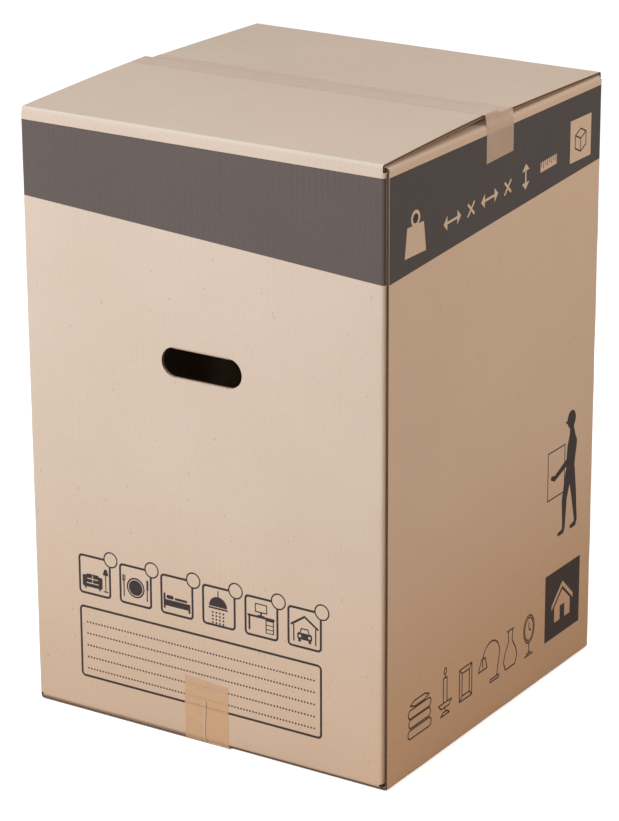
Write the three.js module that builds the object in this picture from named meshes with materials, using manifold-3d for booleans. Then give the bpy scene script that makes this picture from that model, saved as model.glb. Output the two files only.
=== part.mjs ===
// Moving carton: one folded and glued sheet of corrugated board, closed with two strips of tape.
// Millimetres, +Z up, front towards -Y. The origin is the middle of the underside.

import * as THREE from 'three';
import { mergeVertices } from 'three/addons/utils/BufferGeometryUtils.js';
import Module from 'manifold-3d';

// Inside of the closed carton
const insideWidth = 400;
const insideDepth = 400;
const insideHeight = 600;

// Corrugated board and its folds
const boardThickness = 3;
const insideCreaseRadius = 1;
const layerGap = 0.5;
const slotInset = 6;
const seamGap = 2;
const frontFlapRise = 6.5;
const backFlapRise = 3;

// Glued joint at the front right corner
const glueTabWidth = 35;
const rawEdgeClearance = 0.5;

// Hand holes, with the punched tab folded in at the top
const handHoleWidth = 91;
const handHoleHeight = 30;
const handHoleBelowTop = 225.5;
const handTabCreaseRadius = 0.3;
const handTabTrim = 0.4;

// Tape over the top seam (along X) and under the bottom seam (along Y)
const tapeWidth = 50.8;
const tapeThickness = 0.3;
const stickGap = 0.2;
const topTapeDrop = 39.5;
const bottomTapeClimb = 68;
const bottomTapeSkew = 1.5;
const tapeFoldLift = 1.5;

// Ink films
const inkThickness = 0.2;
const inkGap = 0.1;
const lineWidth = 1.6;

// Dark band round the top, with a slanted lower edge on each wall
const bandTopBelowTop = 12.5;
const bandBottomBelowTop = 99.5;
const bandSlant = 25;

// Signs left light in the band on the right wall
const signHeight = 15;
const signWidth = 32;
const signInset = 100;
const signPitch = 69;
const signBelowTop = 73.5;
const crossSize = 13;
const weightSignInset = 50;
const weightSignBelowTop = 95;
const weightSignHeight = 28.5;
const patchSize = 42.5;
const patchInset = 43;
const patchBelowTop = 57.5;

// Writing panel and room tiles on the front wall
const panelInset = 53;
const panelWidth = 283;
const panelBottom = 38.5;
const panelHeight = 77;
const panelCornerRadius = 5;
const tileCount = 6;
const tileGap = 10.1;
const tileHeight = 41.8;
const tileBottom = 128;
const tileCornerRadius = 3.5;
const tileRingRadius = 8.1;

// Badge and carrying figure on the right wall
const badgeSize = 72.7;
const badgeInset = 59.3;
const badgeBottom = 38.5;
const badgeCornerRadius = 1.5;
const figureInset = 64.5;
const figureBottom = 147;
const figureHeight = 129;

// Facets to the quarter turn, in the board and in the ink, and along a raised flap
const foldFacets = 6;
const inkFacets = 4;
const riseSteps = 6;
const weldOverlap = 2;

const halfWidth = insideWidth / 2 + boardThickness;
const halfDepth = insideDepth / 2 + boardThickness;
const creaseRadius = insideCreaseRadius + boardThickness;
const baseLevel = tapeThickness + stickGap;
const baseInnerLevel = baseLevel + boardThickness + layerGap;
const topInnerLevel = baseInnerLevel + boardThickness + insideHeight + boardThickness;
const topLevel = topInnerLevel + layerGap + boardThickness;
const tubeBottom = baseInnerLevel + creaseRadius;
const tubeTop = topInnerLevel - creaseRadius;
const rawEdge = creaseRadius + rawEdgeClearance;
const tapeFaceGap = 2 * inkGap + inkThickness;

// Places along the walls, taken from their edges
const signStart = signInset - halfDepth;
const weightSignCentre = weightSignInset - halfDepth;
const patchCentre = halfDepth - patchInset;
const badgeCentre = halfDepth - badgeInset;
const figureCentre = halfDepth - figureInset;
const panelLeft = panelInset - halfWidth;
const tileWidth = (panelWidth - (tileCount - 1) * tileGap) / tileCount;

const walls = {
  front: { turn: 0, reach: halfDepth, halfSpan: halfWidth },
  right: { turn: Math.PI / 2, reach: halfWidth, halfSpan: halfDepth },
  back: { turn: Math.PI, reach: halfDepth, halfSpan: halfWidth },
  left: { turn: -Math.PI / 2, reach: halfWidth, halfSpan: halfDepth },
};

const materials = {
  kraft: new THREE.MeshStandardMaterial({ color: 0xd0b091, roughness: 0.85, metalness: 0 }),
  tape: new THREE.MeshStandardMaterial({ color: 0xc79a6c, roughness: 0.35, metalness: 0 }),
  ink: new THREE.MeshStandardMaterial({ color: 0x544c47, roughness: 0.75, metalness: 0 }),
};

const wasm = await Module();
wasm.setup();

function toSolid(geometry) {
  const bare = geometry.clone();
  bare.deleteAttribute('normal');
  bare.deleteAttribute('uv');
  const merged = mergeVertices(bare, 1e-4);
  const vertProperties = new Float32Array(merged.attributes.position.array);
  const triVerts = new Uint32Array(merged.index.array);
  return new wasm.Manifold(new wasm.Mesh({ numProp: 3, vertProperties, triVerts }));
}

function toGeometry(solid) {
  const { vertProperties, triVerts } = solid.getMesh();
  const geometry = new THREE.BufferGeometry();
  geometry.setAttribute('position', new THREE.Float32BufferAttribute(vertProperties, 3));
  geometry.setIndex([...triVerts]);
  return geometry;
}

const joined = (solids) => solids.reduce((sum, solid) => sum.add(solid));

// From (along the wall, up, out of the wall) to the carton's own axes.
function wallMatrix(wall, out = 0) {
  return new THREE.Matrix4()
    .makeRotationZ(wall.turn)
    .multiply(new THREE.Matrix4().makeTranslation(0, -wall.reach - out, 0))
    .multiply(new THREE.Matrix4().makeRotationX(Math.PI / 2));
}

// From a section's (inwards, up, along the wall) to (along the wall, up, out of the wall).
const sectionMatrix = new THREE.Matrix4().makeBasis(
  new THREE.Vector3(0, 0, -1),
  new THREE.Vector3(0, 1, 0),
  new THREE.Vector3(1, 0, 0),
);

function extruded(shape, depth) {
  return new THREE.ExtrudeGeometry(shape, { depth, bevelEnabled: false, curveSegments: foldFacets / 2 });
}

// Adds an arc in quarter turns, so that each quarter has as many facets.
function addArc(path, x, y, radius, from, to) {
  const pieces = Math.max(1, Math.round(Math.abs(to - from) / (Math.PI / 2)));
  const step = (to - from) / pieces;
  for (let i = 0; i < pieces; i += 1) {
    path.absarc(x, y, radius, from + i * step, from + (i + 1) * step, to < from);
  }
}

// The four walls in one section: three folded corners, and the glued joint at the front right,
// where the front wall's tab runs on inside the right wall.
function wallTube() {
  const [x, y, r, t] = [halfWidth, halfDepth, creaseRadius, boardThickness];
  const outline = new THREE.Shape();
  outline.moveTo(-x + r, -y);
  outline.lineTo(x - t - r, -y);
  outline.absarc(x - t - r, -y + r, r, -Math.PI / 2, 0);
  outline.lineTo(x - t, -y + rawEdge);
  outline.lineTo(x, -y + rawEdge);
  outline.lineTo(x, y - r);
  outline.absarc(x - r, y - r, r, 0, Math.PI / 2);
  outline.lineTo(-x + r, y);
  outline.absarc(-x + r, y - r, r, Math.PI / 2, Math.PI);
  outline.lineTo(-x, -y + r);
  outline.absarc(-x + r, -y + r, r, Math.PI, 1.5 * Math.PI);

  const hollow = new THREE.Path();
  hollow.moveTo(-x + r, -y + t);
  hollow.lineTo(x - t - r, -y + t);
  hollow.absarc(x - t - r, -y + r, r - t, -Math.PI / 2, 0);
  hollow.lineTo(x - 2 * t, -y + glueTabWidth);
  hollow.lineTo(x - t, -y + glueTabWidth);
  hollow.lineTo(x - t, y - r);
  hollow.absarc(x - r, y - r, r - t, 0, Math.PI / 2);
  hollow.lineTo(-x + r, y - t);
  hollow.absarc(-x + r, y - r, r - t, Math.PI / 2, Math.PI);
  hollow.lineTo(-x + t, -y + r);
  hollow.absarc(-x + r, -y + r, r - t, Math.PI, 1.5 * Math.PI);
  outline.holes.push(hollow);

  return toSolid(extruded(outline, tubeTop - tubeBottom).translate(0, 0, tubeBottom));
}

// Height of a flap's outer face above its crease, at a distance in from the wall.
function riseAt(inwards, length, rise) {
  const share = (inwards - creaseRadius) / (length - creaseRadius);
  return rise * 0.5 * (share + Math.sin((share * Math.PI) / 2));
}

function flap(wall, { level, rise = 0, stem = 0, under = false }) {
  const length = wall.reach - seamGap / 2;
  const steps = rise ? riseSteps : 1;
  const outside = Array.from({ length: steps }, (_, i) => {
    const inwards = creaseRadius + ((length - creaseRadius) * (i + 1)) / steps;
    return [inwards, riseAt(inwards, length, rise)];
  });
  const foot = -creaseRadius - stem - weldOverlap;
  const section = new THREE.Shape();
  section.moveTo(0, foot);
  section.lineTo(0, -creaseRadius);
  section.absarc(creaseRadius, -creaseRadius, creaseRadius, Math.PI, Math.PI / 2, true);
  outside.forEach(([inwards, up]) => section.lineTo(inwards, up));
  outside.reverse().forEach(([inwards, up]) => section.lineTo(inwards, up - boardThickness));
  section.absarc(creaseRadius, -creaseRadius, insideCreaseRadius, Math.PI / 2, Math.PI, false);
  section.lineTo(boardThickness, foot);

  const width = 2 * (wall.halfSpan - slotInset);
  const placed = extruded(section, width)
    .translate(0, 0, -width / 2)
    .applyMatrix4(sectionMatrix)
    .rotateZ(under ? Math.PI : 0)
    .translate(0, level, 0)
    .applyMatrix4(wallMatrix(wall));
  return toSolid(placed);
}

const holeRadius = handHoleHeight / 2;
const holeStraight = handHoleWidth / 2 - holeRadius;
const holeCentreLevel = topLevel - handHoleBelowTop;

function handHole(wall) {
  const outline = stadium(holeStraight, holeRadius, holeCentreLevel);
  const depth = boardThickness + 2 * weldOverlap;
  return toSolid(extruded(outline, depth).applyMatrix4(wallMatrix(wall, weldOverlap - depth)));
}

function stadium(straight, radius, level) {
  const shape = new THREE.Shape();
  shape.moveTo(-straight, level - radius);
  shape.lineTo(straight, level - radius);
  addArc(shape, straight, level, radius, -Math.PI / 2, Math.PI / 2);
  shape.lineTo(-straight, level + radius);
  addArc(shape, -straight, level, radius, Math.PI / 2, 1.5 * Math.PI);
  return shape;
}

// The punched tab, folded in by a quarter turn about the hole's upper edge.
function handTab(wall) {
  const outerRadius = handTabCreaseRadius + boardThickness;
  const hingeLevel = holeCentreLevel + holeRadius;
  const reach = handHoleHeight - handTabTrim;
  const bend = new THREE.Shape();
  bend.moveTo(0, weldOverlap);
  bend.lineTo(0, 0);
  bend.absarc(outerRadius, 0, outerRadius, Math.PI, 1.5 * Math.PI);
  bend.lineTo(outerRadius + weldOverlap, -outerRadius);
  bend.lineTo(outerRadius + weldOverlap, -handTabCreaseRadius);
  bend.lineTo(outerRadius, -handTabCreaseRadius);
  bend.absarc(outerRadius, 0, handTabCreaseRadius, 1.5 * Math.PI, Math.PI, true);
  bend.lineTo(boardThickness, weldOverlap);
  const bendSolid = toSolid(
    extruded(bend, 2 * holeStraight)
      .translate(0, 0, -holeStraight)
      .applyMatrix4(sectionMatrix)
      .translate(0, hingeLevel, 0)
      .applyMatrix4(wallMatrix(wall)),
  );

  const tip = holeRadius - handTabTrim;
  const tab = new THREE.Shape();
  tab.moveTo(-holeStraight - tip, outerRadius);
  tab.lineTo(holeStraight + tip, outerRadius);
  tab.lineTo(holeStraight + tip, reach - tip);
  tab.absarc(holeStraight, reach - tip, tip, 0, Math.PI / 2);
  tab.lineTo(-holeStraight, reach);
  tab.absarc(-holeStraight, reach - tip, tip, Math.PI / 2, Math.PI);
  const tabSolid = toSolid(
    extruded(tab, boardThickness)
      .rotateX(-Math.PI / 2)
      .translate(0, hingeLevel - outerRadius, 0)
      .applyMatrix4(wallMatrix(wall)),
  );
  return bendSolid.add(tabSolid);
}

function carton() {
  const outerStem = topLevel - topInnerLevel;
  const top = [
    flap(walls.front, { level: topLevel, rise: frontFlapRise, stem: outerStem }),
    flap(walls.back, { level: topLevel, rise: backFlapRise, stem: outerStem }),
    flap(walls.left, { level: topInnerLevel }),
    flap(walls.right, { level: topInnerLevel }),
  ];
  const bottom = [
    flap(walls.left, { level: baseLevel, stem: baseInnerLevel - baseLevel, under: true }),
    flap(walls.right, { level: baseLevel, stem: baseInnerLevel - baseLevel, under: true }),
    flap(walls.front, { level: baseInnerLevel, under: true }),
    flap(walls.back, { level: baseInnerLevel, under: true }),
  ];
  const holes = joined([handHole(walls.front), handHole(walls.back)]);
  const tabs = [handTab(walls.front), handTab(walls.back)];
  return joined([wallTube(), ...top, ...bottom]).subtract(holes).add(joined(tabs));
}

// A thin solid between two grids of points with as many rows and columns.
function sheet(inner, outer) {
  const [rows, columns] = [inner.length, inner[0].length];
  const at = (side, i, j) => side * rows * columns + i * columns + j;
  const index = [];
  const quad = (a, b, c, d) => index.push(a, b, c, a, c, d);
  const [lastRow, lastColumn] = [rows - 1, columns - 1];
  for (let i = 0; i < lastRow; i += 1) {
    for (let j = 0; j < lastColumn; j += 1) {
      quad(at(1, i, j), at(1, i + 1, j), at(1, i + 1, j + 1), at(1, i, j + 1));
      quad(at(0, i, j), at(0, i, j + 1), at(0, i + 1, j + 1), at(0, i + 1, j));
    }
    quad(at(0, i, 0), at(0, i + 1, 0), at(1, i + 1, 0), at(1, i, 0));
    quad(at(1, i, lastColumn), at(1, i + 1, lastColumn), at(0, i + 1, lastColumn), at(0, i, lastColumn));
  }
  for (let j = 0; j < lastColumn; j += 1) {
    quad(at(0, 0, j + 1), at(0, 0, j), at(1, 0, j), at(1, 0, j + 1));
    quad(at(0, lastRow, j), at(0, lastRow, j + 1), at(1, lastRow, j + 1), at(1, lastRow, j));
  }
  const points = [...inner.flat(), ...outer.flat()];
  const geometry = new THREE.BufferGeometry();
  geometry.setAttribute('position', new THREE.Float32BufferAttribute(points.flat(), 3));
  geometry.setIndex(index);
  return geometry;
}

// The path of a tape over the flaps and down two opposite walls, as (run, level) pairs.
function tapePath({ reach, endLevel, foldLevel, flapLevel }) {
  const face = reach + tapeFaceGap;
  const half = [
    [face, endLevel],
    [face, foldLevel + tapeFoldLift],
    [reach - slotInset, flapLevel + stickGap],
  ];
  return [...half.map(([run, level]) => [-run, level]), ...half.reverse()];
}

// The same path moved out to the left of its own direction, with mitred corners.
function offsetPath(path, distance) {
  const normals = path.slice(1).map(([run, level], i) => {
    const along = new THREE.Vector2(run - path[i][0], level - path[i][1]).normalize();
    return new THREE.Vector2(-along.y, along.x);
  });
  return path.map(([run, level], i) => {
    const before = normals[Math.max(i - 1, 0)];
    const after = normals[Math.min(i, normals.length - 1)];
    const mitre = before.clone().add(after);
    mitre.multiplyScalar((2 * distance) / mitre.lengthSq());
    return [run + mitre.x, level + mitre.y];
  });
}

// A tape from its lines across the width, each with its place and its path.
function tape(lines) {
  const place = (paths) => paths[0].path.map((_, i) => (
    paths.map(({ across, path }) => [path[i][0], across, path[i][1]])
  ));
  const outer = lines.map(({ across, path }) => ({ across, path: offsetPath(path, tapeThickness) }));
  return sheet(place(lines), place(outer));
}

function topTape() {
  const length = halfDepth - seamGap / 2;
  const stepEnd = seamGap / 2 + frontFlapRise - backFlapRise;
  const places = [-tapeWidth / 2, -seamGap / 2, stepEnd, tapeWidth / 2];
  return tape(places.map((across) => {
    const rise = across < 0 ? frontFlapRise : backFlapRise;
    const inwards = Math.min(halfDepth - Math.abs(across), length);
    const path = tapePath({
      reach: halfWidth,
      endLevel: topLevel - topTapeDrop,
      foldLevel: topInnerLevel - creaseRadius,
      flapLevel: topLevel + riseAt(inwards, length, rise),
    });
    return { across, path };
  }));
}

// Built the right way up, then turned over and a quarter round, so that it runs along Y.
function bottomTape() {
  const lines = [-1, 1].map((side) => ({
    across: (side * tapeWidth) / 2,
    path: tapePath({
      reach: halfDepth,
      endLevel: -bottomTapeClimb - side * bottomTapeSkew,
      foldLevel: -baseInnerLevel - creaseRadius,
      flapLevel: -baseLevel,
    }),
  }));
  return tape(lines).rotateX(Math.PI).rotateZ(-Math.PI / 2);
}

// The walls' outer face, from the joint clockwise round to the right wall's raw edge, moved out.
function wallRun(out) {
  const [x, y, r] = [halfWidth, halfDepth, creaseRadius];
  const corners = [
    { centre: [x - boardThickness - r, -y + r], from: 0 },
    { centre: [-x + r, -y + r], from: -Math.PI / 2 },
    { centre: [-x + r, y - r], from: -Math.PI },
    { centre: [x - r, y - r], from: -1.5 * Math.PI },
  ];
  const round = corners.flatMap(({ centre, from }) => (
    Array.from({ length: foldFacets + 1 }, (_, i) => {
      const angle = from - (i / foldFacets) * (Math.PI / 2);
      return [centre[0] + (r + out) * Math.cos(angle), centre[1] + (r + out) * Math.sin(angle)];
    })
  ));
  return [...round, [x + out, -y + rawEdge]];
}

function bandSolid() {
  const high = topLevel - bandTopBelowTop;
  const middle = topLevel - bandBottomBelowTop;
  const grid = (out) => wallRun(out).map(([x, y]) => {
    const low = middle + (bandSlant / 2) * (x / halfWidth) * (y / halfDepth);
    return [[x, y, high], [x, y, low]];
  });
  return toSolid(sheet(grid(inkGap), grid(inkGap + inkThickness)));
}

function polygon(points) {
  return new THREE.Shape(points.map(([x, y]) => new THREE.Vector2(x, y)));
}

function disc(x, y, radius) {
  const shape = new THREE.Shape();
  addArc(shape, x, y, radius, 0, 2 * Math.PI);
  return shape;
}

function roundedBox(left, bottom, width, height, radius) {
  const [right, top] = [left + width, bottom + height];
  const shape = new THREE.Shape();
  shape.absarc(left + radius, bottom + radius, radius, Math.PI, 1.5 * Math.PI);
  shape.absarc(right - radius, bottom + radius, radius, 1.5 * Math.PI, 2 * Math.PI);
  shape.absarc(right - radius, top - radius, radius, 0, Math.PI / 2);
  shape.absarc(left + radius, top - radius, radius, Math.PI / 2, Math.PI);
  return shape;
}

function film(shape, thickness = inkThickness, start = 0) {
  const options = { depth: thickness, bevelEnabled: false, curveSegments: inkFacets / 2 };
  return toSolid(new THREE.ExtrudeGeometry(shape, options).translate(0, 0, start));
}

// A film cutter is thicker than the ink on both faces.
const cutter = (shape) => film(shape, inkThickness + 2 * weldOverlap, -weldOverlap);

function frameFilm(left, bottom, width, height, radius) {
  const inside = roundedBox(
    left + lineWidth,
    bottom + lineWidth,
    width - 2 * lineWidth,
    height - 2 * lineWidth,
    Math.max(radius - lineWidth, lineWidth / 2),
  );
  return film(roundedBox(left, bottom, width, height, radius)).subtract(cutter(inside));
}

// One outline for each stroke between two points, with round ends.
function strokes(points, width) {
  return points.slice(1).map(([x, y], i) => {
    const [fromX, fromY] = points[i];
    const angle = Math.atan2(y - fromY, x - fromX);
    const shape = new THREE.Shape();
    addArc(shape, fromX, fromY, width / 2, angle + Math.PI / 2, angle + 1.5 * Math.PI);
    addArc(shape, x, y, width / 2, angle - Math.PI / 2, angle + Math.PI / 2);
    return shape;
  });
}

// Double arrow, lying or standing, in a box of the sign's size.
function arrowSign(centre, level, standing) {
  const [reach, head, bar] = [signWidth / 2, signHeight / 2, signHeight / 8];
  const side = [
    [-reach, 0],
    [head - reach, -head],
    [head - reach, -bar],
    [reach - head, -bar],
    [reach - head, -head],
  ];
  const points = [...side, ...side.map(([x, y]) => [-x, -y])];
  const shrink = signHeight / signWidth;
  return polygon(points.map(([x, y]) => (
    standing ? [centre - y * shrink, level + x * shrink] : [centre + x, level + y]
  )));
}

function bandSigns() {
  const slope = bandSlant / (2 * halfDepth);
  const level = (along) => topLevel - signBelowTop + slope * along;
  const shapes = [];
  for (let i = 0; i < 3; i += 1) {
    const along = signStart + signWidth / 2 + i * signPitch;
    shapes.push(arrowSign(along, level(along), i === 2));
  }
  const arm = (crossSize - lineWidth) / 2;
  for (let i = 0; i < 2; i += 1) {
    const along = signStart + signWidth / 2 + (i + 0.5) * signPitch;
    const up = level(along);
    shapes.push(...strokes([[along - arm, up - arm], [along + arm, up + arm]], 2 * lineWidth));
    shapes.push(...strokes([[along - arm, up + arm], [along + arm, up - arm]], 2 * lineWidth));
  }
  const weightLow = topLevel - weightSignBelowTop;
  const weightHigh = weightLow + weightSignHeight;
  const handleRadius = weightSignHeight * 0.28;
  shapes.push(disc(weightSignCentre, weightHigh + handleRadius / 2, handleRadius));
  shapes.push(polygon([
    [weightSignCentre - 0.66 * weightSignHeight, weightLow],
    [weightSignCentre + 0.66 * weightSignHeight, weightLow],
    [weightSignCentre + 0.51 * weightSignHeight, weightHigh],
    [weightSignCentre - 0.51 * weightSignHeight, weightHigh],
  ]));
  const patchLow = topLevel - patchBelowTop - patchSize / 2;
  shapes.push(roundedBox(patchCentre - patchSize / 2, patchLow, patchSize, patchSize, lineWidth / 2));
  return joined(shapes.map(cutter));
}

function band() {
  const signs = toSolid(toGeometry(bandSigns()).applyMatrix4(wallMatrix(walls.right, inkGap)));
  return bandSolid().subtract(signs);
}

function writingPanel() {
  return frameFilm(panelLeft, panelBottom, panelWidth, panelHeight, panelCornerRadius);
}

function roomTile(number) {
  const left = panelLeft + number * (tileWidth + tileGap);
  const [ringX, ringY] = [left + tileWidth, tileBottom + tileHeight];
  const frame = frameFilm(left, tileBottom, tileWidth, tileHeight, tileCornerRadius);
  const ring = film(disc(ringX, ringY, tileRingRadius));
  return frame.add(ring).subtract(cutter(disc(ringX, ringY, tileRingRadius - lineWidth)));
}

// Dark square with a plain house left light in it.
function badge() {
  const square = roundedBox(badgeCentre - badgeSize / 2, badgeBottom, badgeSize, badgeSize, badgeCornerRadius);
  const [reach, low] = [badgeSize / 4, badgeBottom + badgeSize / 4];
  const house = polygon([
    [badgeCentre - reach, low],
    [badgeCentre + reach, low],
    [badgeCentre + reach, low + reach],
    [badgeCentre, low + 2 * reach],
    [badgeCentre - reach, low + reach],
  ]);
  return film(square).subtract(cutter(house));
}

// A plain sign-style figure that carries a box, drawn on a grid of 129 units to its height.
function figure() {
  const unit = figureHeight / 129;
  const place = ([x, y]) => [figureCentre + x * unit, figureBottom + y * unit];
  const limb = (points, width) => strokes(points.map(place), width * unit);
  const limbs = [
    ...limb([[17, 117], [17, 96]], 8),
    ...limb([[16, 98], [13, 64]], 22),
    ...limb([[16, 62], [23, 34], [26, 6]], 11),
    ...limb([[26, 5], [19, 5]], 9),
    ...limb([[11, 62], [2, 36], [0, 6]], 11),
    ...limb([[0, 5], [-7, 5]], 9),
    ...limb([[14, 94], [6, 68], [-20, 62]], 8),
    disc(...place([17, 118.5]), 10.5 * unit),
  ];
  const box = frameFilm(...place([-31, 45]), 36 * unit, 52 * unit, lineWidth);
  return joined([...limbs.map((shape) => film(shape)), box]);
}

function named(name, geometry, material) {
  const mesh = new THREE.Mesh(geometry, material);
  mesh.name = name;
  return mesh;
}

function printGroup(wall, films) {
  const group = new THREE.Group();
  group.applyMatrix4(wallMatrix(wall, inkGap));
  Object.entries(films).forEach(([name, solid]) => group.add(named(name, toGeometry(solid), materials.ink)));
  return group;
}

const frontPrint = { writing_panel_print: writingPanel() };
for (let i = 0; i < tileCount; i += 1) frontPrint[`room_tile_print_${i + 1}`] = roomTile(i);

const movingCarton = new THREE.Group();
movingCarton.add(
  named('carton', toGeometry(carton()), materials.kraft),
  named('top_tape', topTape(), materials.tape),
  named('bottom_tape', bottomTape(), materials.tape),
  named('band_print', toGeometry(band()), materials.ink),
  printGroup(walls.front, frontPrint),
  printGroup(walls.right, { badge_print: badge(), figure_print: figure() }),
);

export default movingCarton;
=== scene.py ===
# Moving carton. The printed blank is drawn flat, cut out and folded into one sheet of board,
# then two tapes are laid over the seams. Drawing is in millimetres, the scene in metres.
import math

import bpy
import numpy as np
from mathutils import Matrix, Vector
from mathutils.geometry import delaunay_2d_cdt


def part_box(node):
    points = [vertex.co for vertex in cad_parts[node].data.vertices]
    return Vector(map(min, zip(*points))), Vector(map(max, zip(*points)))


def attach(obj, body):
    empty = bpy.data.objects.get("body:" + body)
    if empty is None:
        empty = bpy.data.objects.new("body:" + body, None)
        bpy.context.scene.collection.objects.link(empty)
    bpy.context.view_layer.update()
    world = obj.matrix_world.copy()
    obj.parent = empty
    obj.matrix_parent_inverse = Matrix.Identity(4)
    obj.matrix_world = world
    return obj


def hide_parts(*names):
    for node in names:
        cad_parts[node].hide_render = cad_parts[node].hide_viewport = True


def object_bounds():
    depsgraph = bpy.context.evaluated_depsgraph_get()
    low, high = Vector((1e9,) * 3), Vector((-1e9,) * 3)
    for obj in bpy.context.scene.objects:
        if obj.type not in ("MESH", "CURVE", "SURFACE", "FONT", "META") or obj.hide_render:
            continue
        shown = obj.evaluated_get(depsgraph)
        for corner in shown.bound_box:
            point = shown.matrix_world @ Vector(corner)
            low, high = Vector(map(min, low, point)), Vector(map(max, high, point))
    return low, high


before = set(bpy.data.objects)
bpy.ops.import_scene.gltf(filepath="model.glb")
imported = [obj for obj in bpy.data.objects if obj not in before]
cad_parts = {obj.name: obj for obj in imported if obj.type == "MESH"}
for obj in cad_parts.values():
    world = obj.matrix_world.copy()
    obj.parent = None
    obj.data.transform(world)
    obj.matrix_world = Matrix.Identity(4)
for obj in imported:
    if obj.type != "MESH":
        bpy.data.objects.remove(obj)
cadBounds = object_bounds()
print("frame loaded")

mm = 0.001
quarter = math.pi / 2

board = {
    "thickness": 3.0,
    "liner": 0.45,
    "edgeRecess": 1.1,
    "flutePitch": 6.5,
    "fluteWall": 0.36,
    "fluteDepth": 3.0,
    "fluteStep": 0.9,
    "ragged": 0.2,
    "creaseRadius": 4.0,
    "layerGap": 0.5,
    "outerFlapInset": 2.0,
    "innerFlapInset": 4.0,
    "jointExtra": 2.6,
    "seamGap": 2.0,
    "rawEdge": 4.5,
    "glueTab": 35.0,
    "rise": {"front": 6.5, "back": 3.0},
    "bow": {"right": 0.5, "back": 0.7, "left": 0.6, "front": 0.8, "tab": 0.0},
    "creaseWander": 0.7,
    "creaseScallop": 0.2,
    "creaseSharp": 0.85,
}


def boxInMm(node):
    low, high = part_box(node)
    return np.array(low) / mm, np.array(high) / mm


# t is the board's thickness and r the outer radius of its folds.
cartonLow, cartonHigh = boxInMm("carton")
t, r = board["thickness"], board["creaseRadius"]
halfWidth, halfDepth = float(cartonHigh[0]), float(cartonHigh[1])
topLevel = float(cartonHigh[2]) - board["rise"]["front"]
baseLevel = float(cartonLow[2])
topInner = topLevel - t - board["layerGap"]
baseInner = baseLevel + t + board["layerGap"]
wallTop, wallBottom = topInner - r, baseInner + r
arcLength = r * quarter

# The walls as laid flat, one after the other from the right wall's raw edge to the glue tab:
# where each starts, which way it runs, and how long it is between its folds.
wallPlan = {
    "right": ((halfWidth, board["rawEdge"] - halfDepth), (0, 1), 2 * halfDepth - board["rawEdge"] - r),
    "back": ((halfWidth - r, halfDepth), (-1, 0), 2 * (halfWidth - r)),
    "left": ((-halfWidth, halfDepth - r), (0, -1), 2 * (halfDepth - r)),
    "front": ((r - halfWidth, -halfDepth), (1, 0), 2 * (halfWidth - r) - t),
    "tab": ((halfWidth - t, r - halfDepth), (0, 1), board["glueTab"] - r),
}
walls = {}
run = 0.0
for name, (start, along, length) in wallPlan.items():
    outer = name in ("front", "back")
    walls[name] = {
        "from": run,
        "to": run + length,
        "start": np.array(start, float),
        "along": np.array(along, float),
        "top": (topLevel if outer else topInner) - r,
        "bottom": (baseInner if outer else baseLevel) + r,
        "reach": halfDepth if outer else halfWidth,
        "rise": board["rise"].get(name, 0.0),
        "bow": board["bow"][name],
    }
    run += length + arcLength
blankLength = run - arcLength


def flatPlace(wall, along, up):
    panel = walls[wall]
    return (panel["from"] + along - float(panel["start"] @ panel["along"]), up)


def smoothNoise(x, y, seed):
    total = np.zeros_like(x)
    rng = np.random.default_rng(seed)
    for _ in range(7):
        wave = rng.normal(0, 1, 2) / rng.uniform(14, 46)
        total += np.sin(x * wave[0] * 2.2 + y * wave[1] * 2.2 + rng.uniform(0, 6.3))
    return total / 7


def riseAt(inwards, length, rise):
    share = np.clip((inwards - r) / (length - r), 0, 1)
    return rise * 0.5 * (share + np.sin(share * quarter))


# Folds points of the flat blank (s along, v up) into place, at a depth under its outer face.
def folded(s, v, depth):
    s, v = np.asarray(s, float), np.asarray(v, float)
    depth = np.broadcast_to(np.asarray(depth, float), s.shape)
    out = np.zeros(s.shape + (3,))
    names = list(walls)
    beyond = (v > wallTop + 0.01) | (v < wallBottom - 0.01)
    for i, name in enumerate(names):
        w = walls[name]
        last = i == len(names) - 1
        ahead = np.where(beyond, arcLength / 2, 0.0)
        along = w["along"]
        normal = np.array([along[1], -along[0]])
        here = (s >= w["from"] - (1e9 if i == 0 else ahead)) & (s <= w["to"] + (1e9 if last else ahead))
        out[here] = foldedOnWall(w, along, normal, s[here], v[here], depth[here])
        if last:
            continue
        bend = (s > w["to"] + ahead) & (s < walls[names[i + 1]]["from"] - ahead)
        turn = (s[bend] - w["to"]) / r
        centre = w["start"] + along * (w["to"] - w["from"]) - normal * r
        wander = 0.5 * board["creaseWander"] * (1 + smoothNoise(v[bend] * 1.0, s[bend] * 0, 40 + i))
        radius = r - depth[bend] + (board["creaseSharp"] - wander) * np.sin(2 * turn) ** 2
        out[bend, 0] = centre[0] + radius * (normal[0] * np.cos(turn) + along[0] * np.sin(turn))
        out[bend, 1] = centre[1] + radius * (normal[1] * np.cos(turn) + along[1] * np.sin(turn))
        out[bend, 2] = v[bend]
    return out


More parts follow.
